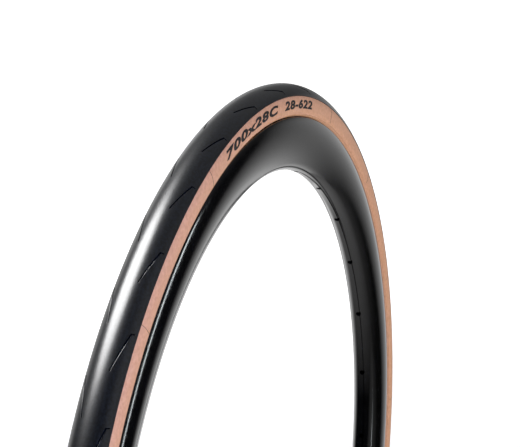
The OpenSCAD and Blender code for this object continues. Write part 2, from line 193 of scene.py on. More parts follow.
# Section of the tyre: an upper circle, a short straight wall and a lower arc that clears the lip
CROWN_R = SEAT_R + TYRE_H
SIDE_Y = TYRE_W / 2
CASING_RAD = SIDE_Y - SKIN_T
SECTION_R = CROWN_R - TREAD_T - BELT_T - CASING_RAD
NECK_Y = INNER_W / 2 - BEAD_GAP
LOW_Y = NECK_Y - SKIN_T - CASING_T - LINER_T
LOW_RAD = SIDE_Y - LOW_Y
LOW_R = LIP_C + math.sqrt((LOW_RAD + LIP_RAD + LIP_GAP) ** 2 - (INNER_W / 2 + LIP_RAD - LOW_Y) ** 2)
NECK_TURN = 180 - math.degrees(math.asin((NECK_Y - LOW_Y) / LOW_RAD))
SKIN_END = NECK_TURN - math.degrees(CHAFER_RISE / LOW_RAD)
FIT_LINE_TURN = NECK_TURN - math.degrees(FIT_LINE_RISE / LOW_RAD)

# Tread arc through the crown and its two edges
TREAD_HALF = TREAD_W / 2
EDGE_R = SECTION_R + math.sqrt((SIDE_Y + TREAD_STEP) ** 2 - TREAD_HALF**2)
TREAD_RAD = ((CROWN_R - EDGE_R) ** 2 + TREAD_HALF**2) / (2 * (CROWN_R - EDGE_R))
TREAD_C = CROWN_R - TREAD_RAD
EDGE_TURN = math.degrees(math.atan2(TREAD_HALF, EDGE_R - SECTION_R))
SKIN_START = EDGE_TURN + SKIN_GAP_TURN

# Half widths of a groove's mouth: across the tread at its stroke, and round the wheel at its hook
HOOK_LEAN = HOOK_LEN / HOOK_W
STROKE_TOP = GROOVE_W / 2 * math.hypot(1, (GROOVE_BEND - GROOVE_INNER) / GROOVE_LEN)
HOOK_TOP = GROOVE_W / 2 * math.hypot(1, HOOK_LEAN)

# Places of the tread's grid round the wheel: from a groove's inner end, along its stroke, from its bend
LEAD_COLUMNS = (-1.2, -0.5, -0.1, 0.0, 0.5, 1.5)
STROKE_COLUMNS = np.linspace(3.5, GROOVE_LEN - 1.6, 10)
BEND_COLUMNS = (-0.8, -HOOK_TOP, -HOOK_FLOOR, HOOK_FLOOR, HOOK_TOP, 0.9, 1.6)

# Places of the tread's grid across it, as shares of the way to a groove, and from it to the edge
INNER_ROWS = (0.15, 0.3, 0.45, 0.6, 0.75, 0.9)
HOOK_ROWS = (0.12, 0.25, 0.38, 0.474)
OUTER_ROWS = (0.531, 0.65, 0.8, 0.92, 1.0)

# Levels along the valve
MOUTH_R = BED_R - STEM_OUT
SOCKET_R = MOUTH_R + SOCKET_L
FOOT_R = WELL_R + TAPE_T + BOND + GROMMET_H
STEM_RAD = STEM_D / 2
FOOT_RAD = FOOT_D / 2


# Meshes


def wheel_points(r, y, turn):
    """Points of the wheel from distance, side and angle round the axle line, in metres."""
    r, y, turn = np.broadcast_arrays(r, y, turn)
    return np.stack([r * np.sin(turn), y, r * np.cos(turn)], -1) * MM


def finish_mesh(name, mesh, sharp=SHARP):
    """Turns the faces outward, shades them and puts the mesh in the scene."""
    bm = bmesh.new()
    bm.from_mesh(mesh)
    bmesh.ops.recalc_face_normals(bm, faces=bm.faces)
    bm.to_mesh(mesh)
    bm.free()
    mesh.polygons.foreach_set("use_smooth", np.ones(len(mesh.polygons), bool))
    mesh.set_sharp_from_angle(angle=math.radians(sharp))
    obj = bpy.data.objects.new(name, mesh)
    scene.collection.objects.link(obj)
    return obj


def evaluated_mesh(obj):
    """New mesh of an object as its modifiers or its curve settings shape it."""
    return bpy.data.meshes.new_from_object(obj.evaluated_get(bpy.context.evaluated_depsgraph_get()))


def torus_grid(name, points, sharp=SHARP):
    """Mesh of a grid of points that closes on itself both ways."""
    rows, cols = points.shape[:2]
    index = np.arange(rows * cols).reshape(rows, cols)
    right = np.roll(index, -1, 1)
    faces = np.stack([index, right, np.roll(right, -1, 0), np.roll(index, -1, 0)], -1)
    mesh = bpy.data.meshes.new(name)
    mesh.from_pydata(points.reshape(-1, 3).tolist(), [], faces.reshape(-1, 4).tolist())
    return finish_mesh(name, mesh, sharp)


def arc(cr, cy, rad, start, end, steps):
    """Points of an arc in a section. 0 degrees points away from the axle, 90 to the side."""
    turn = np.radians(np.linspace(start, end, steps + 1))
    return np.stack([cr + rad * np.cos(turn), cy + rad * np.sin(turn)], 1)


def ring(name, outline, steps, side=1, sharp=SHARP):
    """Closed outline of r and y points, turned about the axle line."""
    turn = np.linspace(0, 2 * math.pi, steps, endpoint=False)
    points = wheel_points(outline[None, :, 0], side * outline[None, :, 1], turn[:, None])
    return torus_grid(name, points, sharp)


# Tread


def tread_rows(stroke):
    """Distances from the middle plane on one side, and which rows are a groove's floor, edge or hook."""
    low, high = stroke - STROKE_TOP, stroke + STROKE_TOP
    outer = high + EDGE_W
    rows = [share * low for share in INNER_ROWS]
    first_floor = len(rows) + 1
    edge = first_floor + 2
    rows += [low, stroke - STROKE_FLOOR, stroke + STROKE_FLOOR, high, outer]
    hook = range(first_floor, len(rows) + len(HOOK_ROWS))
    rows += [outer + share * (TREAD_HALF - outer) for share in HOOK_ROWS + OUTER_ROWS]
    return np.array(rows), (first_floor, first_floor + 1), edge, hook


def tread_side(active, stroke, in_stroke, in_hook):
    """Distances from the middle plane and depths on one side, with grooves where it is active."""
    y, floor, edge, hook = tread_rows(stroke)
    depth = np.zeros_like(y)
    depth[edge][active & in_stroke] = EDGE_DEPTH
    for row in floor:
        depth[row][active & in_stroke] = GROOVE_DEPTH
    for row in hook:
        depth[row][active & in_hook] = GROOVE_DEPTH
    return y, depth


def tread_underside(along):
    """Inner surface of the tread, with a recess for the belt."""
    half = np.array([BELT_TURN, BELT_TURN + BELT_STEP_TURN, UNDER_TURN, EDGE_TURN])
    turn = np.concatenate([-half[::-1], [0], half])
    rad = CASING_RAD + BOND + np.where(np.abs(turn) <= BELT_TURN, BELT_T, 0)
    turn = np.radians(turn)
    return wheel_points((SECTION_R + rad * np.cos(turn))[:, None], (rad * np.sin(turn))[:, None], along)


def make_tread():
    """Tread whose grid follows the grooves. Those of the two sides are half a pitch apart."""
    count = 2 * GROOVE_N
    half = 2 * math.pi * CROWN_R / count
    columns = np.concatenate([LEAD_COLUMNS, STROKE_COLUMNS, GROOVE_LEN + np.array(BEND_COLUMNS)])
    start = math.radians(GROOVE_PHASE) * CROWN_R
    x = (start + np.arange(count)[:, None] * half + columns[None, :]).ravel()
    rel = np.tile(columns, count)
    cut_right = np.repeat(np.arange(count) % 2 == 0, len(columns))
    rise = GROOVE_BEND - GROOVE_INNER
    going_up = GROOVE_INNER + rise * np.clip(rel / GROOVE_LEN, 0, 1)
    going_back = GROOVE_BEND - rise * (rel - columns[0]) / half
    in_stroke = (rel >= 0) & (rel <= GROOVE_LEN + HOOK_FLOOR + NEAR)
    in_hook = np.abs(np.abs(rel - GROOVE_LEN) - HOOK_FLOOR) < NEAR
    (right_y, right_depth), (left_y, left_depth) = [
        tread_side(active, np.where(active, going_up, going_back), in_stroke, in_hook)
        for active in (cut_right, ~cut_right)
    ]
    middle = np.zeros((1, len(x)))
    y = np.concatenate([left_y[::-1], middle, -right_y])
    reach = TREAD_RAD - np.concatenate([left_depth[::-1], middle, right_depth])
    lean = np.arcsin(np.clip(y / TREAD_RAD, -1, 1))
    along = (x[None, :] + HOOK_LEAN * np.maximum(np.abs(y) - GROOVE_BEND, 0)) / CROWN_R
    top = wheel_points(TREAD_C + reach * np.cos(lean), reach * np.sin(lean), along)
    return torus_grid("tread_skin", np.concatenate([top, tread_underside(along[-1][None, :])]))


# Sidewalls


def make_sidewall(name, side):
    """Tan skin with the raised fitting line near the rim."""
    inner = SKIN_T - BOND
    turn = math.radians(FIT_LINE_TURN)
    line_r, line_y = LOW_R + LOW_RAD * math.cos(turn), LOW_Y + LOW_RAD * math.sin(turn)
    line_start, line_end = FIT_LINE_TURN - FIT_LINE_ROUND, FIT_LINE_TURN + FIT_LINE_ROUND
    foot = FIT_LINE_FOOT * math.degrees(FIT_LINE_RAD / LOW_RAD)
    outline = np.concatenate([
        arc(SECTION_R, 0, SIDE_Y, SKIN_START, 90, steps=16),
        arc(LOW_R, LOW_Y, LOW_RAD, 90, FIT_LINE_TURN - foot, steps=18),
        arc(line_r, line_y, FIT_LINE_RAD, line_start, line_end, steps=8),
        arc(LOW_R, LOW_Y, LOW_RAD, FIT_LINE_TURN + foot, SKIN_END, steps=10),
        arc(LOW_R, LOW_Y, LOW_RAD - inner, SKIN_END, 90, steps=12),
        arc(SECTION_R, 0, SIDE_Y - inner, 90, SKIN_START, steps=10),
    ])
    return ring(name, outline, SKIN_STEPS, side)


def wall_place(down, lift):
    """Point on the sidewall a distance down from the start of its straight stretch, raised by a lift."""
    drop = SECTION_R - LOW_R
    high_turn = math.pi / 2 + np.minimum(down, 0) / SIDE_Y
    low_turn = math.pi / 2 + np.maximum(down - drop, 0) / LOW_RAD
    high_rad, low_rad = SIDE_Y + lift, LOW_RAD + lift
    high_r, high_y = SECTION_R + high_rad * np.cos(high_turn), high_rad * np.sin(high_turn)
    low_r, low_y = LOW_R + low_rad * np.cos(low_turn), LOW_Y + low_rad * np.sin(low_turn)
    straight = SECTION_R - np.clip(down, 0, drop)
    r = np.where(down <= 0, high_r, np.where(down <= drop, straight, low_r))
    y = np.where(down <= 0, high_y, np.where(down <= drop, SIDE_Y + lift, low_y))
    return r, y


def flat_words(text):
    """Solid letters of a text, 1 high and 1 wide in all, with depth from 0 to 1, cut up to be bent."""
    curve = bpy.data.curves.new("words", "FONT")
    curve.body = text
    curve.extrude = 0.5
    curve.shear = MARK_LEAN
    curve.offset = MARK_BOLD
    curve.space_character = MARK_SPACING
    curve.resolution_u = MARK_CURVE_STEPS
    obj = bpy.data.objects.new("words", curve)
    scene.collection.objects.link(obj)
    mesh = evaluated_mesh(obj)
    bpy.data.objects.remove(obj)
    bm = bmesh.new()
    bm.from_mesh(mesh)
    bpy.data.meshes.remove(mesh)
    bmesh.ops.remove_doubles(bm, verts=bm.verts, dist=WELD)
    places = np.array([v.co[:] for v in bm.verts])
    low, size = places.min(0), np.ptp(places, axis=0)
    for v in bm.verts:
        v.co = Vector((np.array(v.co) - low) / size)
    for axis, parts in ((1, MARK_ROWS), (0, MARK_COLUMNS)):
        for k in range(1, parts):
            spot, way = Vector(), Vector()
            spot[axis], way[axis] = k / parts, 1
            geom = bm.verts[:] + bm.edges[:] + bm.faces[:]
            bmesh.ops.bisect_plane(bm, geom=geom, plane_co=spot, plane_no=way)
    return bm


def make_marks(name, side):
    """Plain size marks, wrapped on a sidewall and read from its own side."""
    merged = bmesh.new()
    for text, first, last in SIZE_MARKS:
        bm = flat_words(text)
        across, up, out = np.array([v.co[:] for v in bm.verts]).T
        turn = -side * np.radians(first + (last - first) * across)
        r, y = wall_place(MARK_FOOT + (MARK_TOP - MARK_FOOT) * up, out * (MARK_LIFT + SINK) - SINK)
        for v, place in zip(bm.verts, wheel_points(r, side * y, turn)):
            v.co = place
        mesh = bpy.data.meshes.new("words")
        bm.to_mesh(mesh)
        bm.free()
        merged.from_mesh(mesh)
        bpy.data.meshes.remove(mesh)
    mesh = bpy.data.meshes.new(name)
    merged.to_mesh(mesh)
    merged.free()
    return finish_mesh(name, mesh)


def make_seams(name, side):
    """Thin moulding seams that run down the sidewall from the tread."""
    count = SEAM_STEPS + 1
    down = np.linspace(-math.radians(90 - EDGE_TURN) * SIDE_Y, SEAM_END, count)
    top, foot = SEAM_TOP_SHARE, 1
    section = ((-SINK, -foot), (SEAM_LIFT, -top), (SEAM_LIFT, top), (-SINK, foot))
    corners = len(section)
    verts, faces = [], []
    for k in range(SEAM_N):
        if k == MARKED_SEAM:
            continue
        base = len(verts)
        turn = -side * math.radians(SEAM_PHASE + k * 360 / SEAM_N)
        for lift, shift in section:
            r, y = wall_place(down, lift)
            verts += wheel_points(r, side * y, turn + shift * SEAM_W / 2 / SECTION_R).tolist()
        for i in range(corners):
            a, b = base + i * count, base + (i + 1) % corners * count
            faces += [(a + j, a + j + 1, b + j + 1, b + j) for j in range(SEAM_STEPS)]
        for j in (0, SEAM_STEPS):
            faces.append(tuple(base + i * count + j for i in range(corners)))
    mesh = bpy.data.meshes.new(name)
    mesh.from_pydata(verts, [], faces)
    return finish_mesh(name, mesh)


# Rim


def rim_outlines():
    """Outer and inner closed outlines of the hollow rim."""
    flank_y, bed_y, inner_y = RIM_W / 2, BED_W / 2, INNER_W / 2
    well_y, well_top_y = WELL_W / 2, WELL_TOP_W / 2
    lip_in = (RIM_W - LIP_W) / 2
    nose_c = BED_R + math.sqrt(NOSE_RAD**2 - bed_y**2)
    upper_rad = (WIDEST_DROP**2 + lip_in**2) / (2 * lip_in)
    drop = WIDEST_R - nose_c
    flank_rad = (drop**2 + flank_y**2 - NOSE_RAD**2) / (2 * (flank_y - NOSE_RAD))
    upper_y, lower_y = flank_y - upper_rad, flank_y - flank_rad
    nose_turn = math.degrees(math.atan2(-lower_y, -drop))
    bed_turn = 180 - math.degrees(math.asin(bed_y / NOSE_RAD))
    lip_turn = math.degrees(math.acos((LIP_C - WIDEST_R) / (upper_rad - LIP_RAD)))
    lip_out_y = upper_y + (upper_rad - LIP_RAD) * math.sin(math.radians(lip_turn))
    half = np.concatenate([
        arc(nose_c, 0, NOSE_RAD, bed_turn, nose_turn, steps=24),
        arc(WIDEST_R, lower_y, flank_rad, nose_turn, 90, steps=20)[1:],
        arc(WIDEST_R, upper_y, upper_rad, 90, lip_turn, steps=10)[1:],
        arc(LIP_C, lip_out_y, LIP_RAD, lip_turn, 0, steps=6)[1:],
        arc(LIP_C, inner_y + LIP_RAD, LIP_RAD, 0, -90, steps=6),
        [[SEAT_R, inner_y], [SEAT_R, well_top_y], [WELL_R, well_y]],
    ])
    crease_y = bed_y - CREASE_W
    crease_r = BED_R + CREASE_DEPTH
    bed = np.array([[BED_R, crease_y / 2], [BED_R, crease_y]])
    crease = np.array([[crease_r, crease_y + CREASE_SLOPE], [crease_r, bed_y - CREASE_SLOPE]])
    shelf = SEAT_R - FLOOR_T
    first = math.degrees(math.acos((BED_R + BED_T - nose_c) / (NOSE_RAD - FLANK_T)))
    last = math.degrees(math.acos((shelf - WIDEST_R) / (upper_rad - FLANK_T)))
    hollow = np.concatenate([
        arc(nose_c, 0, NOSE_RAD - FLANK_T, first, nose_turn, steps=6),
        arc(WIDEST_R, lower_y, flank_rad - FLANK_T, nose_turn, 90, steps=6)[1:],
        arc(WIDEST_R, upper_y, upper_rad - FLANK_T, 90, last, steps=4)[1:],
        [[shelf, well_top_y + WELL_WALL], [WELL_R - FLOOR_T, well_y + WELL_WALL]],
    ])
    mirror = [1, -1]
    shell = [bed, half, half[::-1] * mirror, crease[::-1] * mirror, bed[::-1] * mirror]
    return np.concatenate(shell), np.concatenate([hollow, hollow[::-1] * mirror])


def cutter(bm, turn, rad, low, high):
    """Cylinder that cuts a hole towards the axle line."""
    place = Matrix.Rotation(turn, 4, "Y") @ Matrix.Translation((0, 0, (low + high) / 2 * MM))
    bmesh.ops.create_cone(
        bm, cap_ends=True, segments=HOLE_SIDES, radius1=rad * MM, radius2=rad * MM,
        depth=(high - low) * MM, matrix=place,
    )


def make_rim_holes():
    """Cutters of the spoke holes, the access holes above them and the valve hole."""
    bm = bmesh.new()
    low, high = BED_R - CUT, WELL_R + CUT
    middle = (BED_R + WELL_R) / 2
    for i in range(SPOKE_N):
        turn = (i + 0.5) * 2 * math.pi / SPOKE_N
        cutter(bm, turn, SPOKE_HOLE_D / 2, low, middle)
        cutter(bm, turn, ACCESS_D / 2, middle + CUT_GAP, high)
    cutter(bm, math.pi, STEM_RAD + STEM_GAP, low, high)
    mesh = bpy.data.meshes.new("rim_holes")
    bm.to_mesh(mesh)
    bm.free()
    return finish_mesh("rim_holes", mesh)


def make_rim():
    """Hollow rim with its holes, free of the slivers that the cuts leave."""
    shell, hollow = rim_outlines()
    rim = ring("rim_skin", shell, RIM_STEPS, sharp=RIM_SHARP)
    tools = ring("rim_hollow", hollow, RIM_STEPS // 2), make_rim_holes()
    for tool in tools:
        cut = rim.modifiers.new("cut", "BOOLEAN")
        cut.operation = "DIFFERENCE"
        cut.solver = "EXACT"
        cut.object = tool
    mesh = evaluated_mesh(rim)
    mesh.name = "rim_skin"
    rim.modifiers.clear()
    rim.data = mesh
    bm = bmesh.new()
    bm.from_mesh(mesh)
    bmesh.ops.dissolve_degenerate(bm, dist=RIM_SLIVER * MM, edges=bm.edges)
    bm.to_mesh(mesh)
    bm.free()
    mesh.set_sharp_from_angle(angle=math.radians(RIM_SHARP))
    for tool in tools:
        bpy.data.objects.remove(tool)
    return rim


# Valve


def make_stem():
    """Stem with a real right-hand thread, standing on the axle line's lower side."""
    turn = np.linspace(0, 2 * math.pi, STEM_SIDES, endpoint=False)
    low, high = MOUTH_R + THREAD_LEAD, BED_R + THREAD_PAST_BED
    levels = np.arange(low, high, THREAD_PITCH / THREAD_STEPS)
    phase = (levels[:, None] / THREAD_PITCH - turn[None, :] / (2 * math.pi)) % 1
    wave = np.clip((np.abs(phase - 0.5) * 2 - THREAD_CREST) / (1 - THREAD_CREST), 0, 1)
    fade = np.clip((levels - low) / THREAD_RUNOUT, 0, 1) * np.clip((high - levels) / THREAD_RUNOUT, 0, 1)
    thread = STEM_RAD - THREAD_DEPTH * wave * fade[:, None]
    head = [
        (AIR_D / 2, FOOT_R + FOOT_T), (AIR_D / 2, SOCKET_R), (SOCKET_D / 2, SOCKET_R),
        (SOCKET_D / 2, MOUTH_R), (STEM_RAD - MOUTH_BEVEL, MOUTH_R),
    ]
    foot = [
        (STEM_RAD, FOOT_R), (FOOT_RAD, FOOT_R), (FOOT_RAD, FOOT_R + FOOT_T / 2),
        (FOOT_RAD - FOOT_T / 2, FOOT_R + FOOT_T),
    ]
    head_rad, head_level = np.array(head).T
    foot_rad, foot_level = np.array(foot).T
    plain = np.ones(STEM_SIDES)
    rad = np.concatenate([head_rad[:, None] * plain, thread, foot_rad[:, None] * plain])
    level = np.concatenate([head_level, levels, foot_level])[:, None] * plain
    points = np.stack([rad * np.sin(turn), rad * np.cos(turn), -level], -1) * MM
    return torus_grid("stem_threaded", points, THREAD_SHARP)


# Materials


def add(tree, kind, inputs=None, **settings):
    """New node with its settings, and each input set to a value or linked to a socket."""
    node = tree.nodes.new(kind)
    for key, value in settings.items():
        setattr(node, key, value)
    for key, value in (inputs or {}).items():
        if isinstance(value, bpy.types.NodeSocket):
            tree.links.new(value, node.inputs[key])
        else:
            node.inputs[key].default_value = value
    return node


def math_node(tree, operation, *values):
    return add(tree, "ShaderNodeMath", dict(enumerate(values)), operation=operation).outputs[0]


def parts_of(tree, vector):
    """Outputs X, Y and Z of a vector."""
    return add(tree, "ShaderNodeSeparateXYZ", {0: vector}).outputs


def own_place(tree):
    """Point's place on its object."""
    return add(tree, "ShaderNodeTexCoord").outputs["Object"]


def world_place(tree):
    """Point's place in the scene."""
    return add(tree, "ShaderNodeNewGeometry").outputs["Position"]


def length_of(tree, a, b):
    squares = [math_node(tree, "POWER", value, 2.0) for value in (a, b)]
    return math_node(tree, "SQRT", math_node(tree, "ADD", *squares))


def noise(tree, scale, detail=4.0, rough=0.55):
    """Noise with about scale features in a metre of the object."""
    inputs = {"Vector": own_place(tree), "Scale": scale, "Detail": detail, "Roughness": rough}
    return add(tree, "ShaderNodeTexNoise", inputs).outputs["Fac"]


def spread(tree, value, first, last, start=0.3, end=0.7):
    """Goes from first to last while a value goes from start to end."""
    inputs = {"Value": value, "From Min": start, "From Max": end, "To Min": first, "To Max": last}
    return add(tree, "ShaderNodeMapRange", inputs).outputs["Result"]


def tint(tree, value, dark, light, start=0.3, end=0.7):
    """Goes from a dark to a light colour while a value goes from start to end."""
    ramp = add(tree, "ShaderNodeValToRGB", {"Fac": value})
    for stop, position, colour in zip(ramp.color_ramp.elements, (start, end), (dark, light)):
        stop.position = position
        stop.color = (*colour, 1)
    return ramp.outputs["Color"]


def new_material(name):
    """Material with its node tree and its shader."""
    made = bpy.data.materials.new(name)
    made.use_nodes = True
    return made, made.node_tree, made.node_tree.nodes["Principled BSDF"]


def surface(
    name, dark, light, rough, bump, grain, patch,
    metal=0.0, spec=0.5, pattern=None, shine=None, mottle=(0.3, 0.7),
):
    """Procedural material: two tints and a gloss in patches, and grain in the height.

    rough is the range of the roughness, bump the strength and height of the grain, patch and grain
    are features in a metre, and mottle is how the two tints share the patches.
    """
    patch_detail, haze_detail, haze_scale = 5.0, 3.0, 2.3
    made, tree, shader = new_material(name)
    shader.inputs["Metallic"].default_value = metal
    shader.inputs["Specular IOR Level"].default_value = spec
    # A shine function may take the shine away in places, as painted shade.
    if shine:
        tree.links.new(shine(tree, spec), shader.inputs["Specular IOR Level"])
    colour = tint(tree, noise(tree, patch, patch_detail), dark, light, *mottle)
    tree.links.new(colour, shader.inputs["Base Color"])
    haze = spread(tree, noise(tree, patch * haze_scale, haze_detail), *rough)
    tree.links.new(haze, shader.inputs["Roughness"])
    fine = noise(tree, grain)
    height = pattern(tree, fine) if pattern else fine
    lift = add(tree, "ShaderNodeBump", {"Strength": bump[0], "Distance": bump[1] * MM, "Height": height})
    tree.links.new(lift.outputs["Normal"], shader.inputs["Normal"])
    return made


def groove_painted_shade(tree, spec):
    """Painted shade in the tread's grooves: no shine below a depth under the tread's arc, where the
    grooves lie in shade.
    """
    shiny_to, painted_shade_from = 0.12, 0.2
    at = parts_of(tree, own_place(tree))
    out = math_node(tree, "SUBTRACT", length_of(tree, at["X"], at["Z"]), TREAD_C * MM)
    depth = math_node(tree, "SUBTRACT", TREAD_RAD * MM, length_of(tree, out, at["Y"]))
    return spread(tree, depth, spec, 0.0, shiny_to * MM, painted_shade_from * MM)


def weave(spacing):
    """Pattern of crossed cords at 45 degrees round the wheel, spacing in millimetres."""
    cord_share = 0.3

    def height(tree, fine):
        at = parts_of(tree, own_place(tree))
        radius = length_of(tree, at["X"], at["Z"])
        turn = math_node(tree, "ARCTAN2", at["X"], at["Z"])
        around = math_node(tree, "MULTIPLY", turn, SECTION_R * MM)
        waves = []
        for sign in ("ADD", "SUBTRACT"):
            slant = math_node(tree, sign, around, radius)
            phase = math_node(tree, "MULTIPLY", slant, 2 * math.pi / (spacing * MM))
            waves.append(math_node(tree, "SINE", phase))
        cords = math_node(tree, "MULTIPLY", math_node(tree, "MAXIMUM", *waves), cord_share)
        return math_node(tree, "ADD", cords, fine)

    return height


LOOKS = {
    "tread_rubber": dict(
        dark=(0.0001, 0.0004, 0.001), light=(0.006, 0.0078, 0.0104), mottle=(0.4, 0.6), patch=700,
        # The shine is taken away in the tread's grooves, as painted shade.
        rough=(0.30, 0.33), bump=(0.15, 0.10), grain=900, shine=groove_painted_shade,
    ),
    "tan_skin": dict(
        dark=(0.58, 0.297, 0.178), light=(0.71, 0.387, 0.246), patch=420,
        rough=(0.48, 0.58), bump=(0.25, 0.10), grain=2400, spec=0.4, pattern=weave(1.1),
    ),
    "carbon_shell": dict(
        dark=(0.0012, 0.0012, 0.0014), light=(0.0024, 0.0024, 0.0028), patch=60,
        rough=(0.09, 0.12), bump=(0.05, 0.02), grain=900,
    ),
    "belt_weave": dict(
        dark=(0.45, 0.38, 0.12), light=(0.60, 0.52, 0.2), patch=200,
        rough=(0.6, 0.8), bump=(0.5, 0.2), grain=1800, spec=0.3, pattern=weave(0.8),
    ),
    "casing_cord": dict(
        dark=(0.22, 0.20, 0.16), light=(0.32, 0.29, 0.24), patch=200,
        rough=(0.6, 0.8), bump=(0.5, 0.2), grain=1800, spec=0.3, pattern=weave(0.6),
    ),
    "bead_fibre": dict(
        dark=(0.55, 0.42, 0.08), light=(0.70, 0.55, 0.15), patch=260,
        rough=(0.5, 0.7), bump=(0.4, 0.15), grain=2200, spec=0.3,
    ),
    "chafer_rubber": dict(
        dark=(0.008, 0.008, 0.008), light=(0.016, 0.016, 0.016), patch=200,
        rough=(0.55, 0.7), bump=(0.4, 0.1), grain=2600, spec=0.3, pattern=weave(0.7),
    ),
    "liner_rubber": dict(
        dark=(0.02, 0.02, 0.02), light=(0.035, 0.035, 0.035), patch=120,
        rough=(0.5, 0.65), bump=(0.3, 0.1), grain=1800, spec=0.4,
    ),
    "tape_film": dict(
        dark=(0.62, 0.52, 0.16), light=(0.72, 0.62, 0.24), patch=90,
        rough=(0.25, 0.35), bump=(0.1, 0.05), grain=900,
    ),
    "stem_metal": dict(
        dark=(0.020, 0.020, 0.022), light=(0.036, 0.036, 0.040), patch=500,
        rough=(0.30, 0.40), bump=(0.1, 0.02), grain=4000, metal=0.6,
    ),
    "valve_rubber": dict(
        dark=(0.012, 0.012, 0.012), light=(0.024, 0.024, 0.024), patch=600,
        rough=(0.5, 0.65), bump=(0.3, 0.05), grain=4000, spec=0.4,
    ),
    "core_brass": dict(
        dark=(0.56, 0.47, 0.28), light=(0.68, 0.58, 0.36), patch=700,
        rough=(0.22, 0.34), bump=(0.1, 0.02), grain=5000, metal=1.0,
    ),
    "seal_plastic": dict(
        dark=(0.72, 0.72, 0.68), light=(0.82, 0.82, 0.79), patch=500,
        rough=(0.35, 0.45), bump=(0.1, 0.02), grain=3000,
    ),
    "nut_black": dict(
        dark=(0.018, 0.018, 0.020), light=(0.034, 0.034, 0.037), patch=500,
        rough=(0.28, 0.36), bump=(0.1, 0.02), grain=4000, metal=0.6,
    ),
    "cap_plastic": dict(
        dark=(0.014, 0.014, 0.015), light=(0.024, 0.024, 0.026), patch=500,
        rough=(0.36, 0.46), bump=(0.2, 0.03), grain=4500,
    ),
}
MATERIALS = {slot: surface(slot, **look) for slot, look in LOOKS.items()}


def dress(obj, slot, *stands_for):
    """Gives a piece of the wheel the material of its slot, puts it on the wheel's body and hides the nodes
    that it stands for.
    """
    obj.data.materials.clear()
    obj.data.materials.append(MATERIALS[slot])
    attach(obj, "wheel")
    if stands_for:
        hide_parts(*stands_for)


SLOTS = {part["node"]: part["material_slot"] for part in frame["record"]["subparts"]}
for name, obj in nodes.items():
    if not obj.material_slots:
        obj.data.materials.append(None)
    for place in obj.material_slots:
        place.material = MATERIALS[SLOTS[name]]

dress(make_tread(), "tread_rubber", "tread_cap")
dress(make_sidewall("skin_left", 1), "tan_skin", "sidewall_left")
dress(make_sidewall("skin_right", -1), "tan_skin", "sidewall_right")
for end, side in (("left", 1), ("right", -1)):
    dress(make_marks("marks_" + end, side), "chafer_rubber")
    dress(make_seams("seams_" + end, side), "chafer_rubber")
dress(make_rim(), "carbon_shell", "rim_hoop")
dress(make_stem(), "stem_metal", "valve_stem")


# Stage

# Floor under the wheel. Its glow for the camera grows with the distance from the wheel's centre.
FLOOR_Z = -CROWN_R * MM
FLOOR_HALF = 12.0
FLOOR_DARK = (0.84, 0.84, 0.84)
FLOOR_LIGHT = (0.87, 0.87, 0.87)
FLOOR_PATCH = 6.0
FLOOR_GLOW = dict(first=0.25, last=1.0, start=0.7, end=1.8)

# Light of the room on matt surfaces
AMBIENT = 0.33

# Room that the gloss sees, as strengths along parts of a direction: the sky over its height and its
# fade to the left, the bright floor behind the wheel, the near side and the ground
FAR_FLOOR = Vector((0.583, 0.694, -0.423))
SKY_GLOW = dict(first=0.005, last=0.235, start=-0.1, end=0.3)
SKY_FADE = dict(first=0.02, last=1.0, start=-0.42, end=0.02)
FAR_GLOW = dict(first=0.0, last=2.4, start=0.62, end=1.0)
NEAR_GLOW = dict(first=0.0, last=0.5, start=0.74, end=1.0)
GROUND_GLOW = dict(first=0.72, last=0.004, start=-0.88, end=-0.4)

# Pale card beside the wheel
CARD_X = 0.77
CARD_EDGE_Y = -0.37
CARD_END_Y = 3.0
CARD_TOP = 0.36
CARD_FADE_Y = 0.30
CARD_FADE_Z = 0.12
CARD_ACROSS = dict(first=0.04, last=1.05, start=CARD_EDGE_Y, end=CARD_EDGE_Y + CARD_FADE_Y)
CARD_UP = dict(first=1.0, last=0.15, start=CARD_TOP - CARD_FADE_Z, end=CARD_TOP)


def stage_plane(name, corners, material):
    """Flat piece of the stage."""
    mesh = bpy.data.meshes.new(name)
    mesh.from_pydata(corners, [], [tuple(range(len(corners)))])
    mesh.materials.append(material)
    obj = bpy.data.objects.new(name, mesh)
    scene.collection.objects.link(obj)
    return obj


def make_floor():
    """Pale floor that keeps the object's shadow. Gloss sees the room instead of it."""
    made, tree, shader = new_material("pale_floor")
    shader.inputs["Roughness"].default_value = 0.9
    shader.inputs["Specular IOR Level"].default_value = 0.1
    shader.inputs["Emission Color"].default_value = (1, 1, 1, 1)
    colour = tint(tree, noise(tree, FLOOR_PATCH), FLOOR_DARK, FLOOR_LIGHT)
    tree.links.new(colour, shader.inputs["Base Color"])
    far = add(tree, "ShaderNodeVectorMath", {0: world_place(tree)}, operation="LENGTH").outputs["Value"]
    light_path = add(tree, "ShaderNodeLightPath").outputs
    shiny = math_node(tree, "MAXIMUM", light_path["Is Glossy Ray"], light_path["Is Transmission Ray"])
    seen = math_node(tree, "MAXIMUM", light_path["Is Camera Ray"], shiny)
    glow = math_node(tree, "MULTIPLY", spread(tree, far, **FLOOR_GLOW), seen)
    tree.links.new(glow, shader.inputs["Emission Strength"])
    h, z = FLOOR_HALF, FLOOR_Z
    floor = stage_plane("floor", [(-h, -h, z), (h, -h, z), (h, h, z), (-h, h, z)], made)
    floor.visible_glossy = False


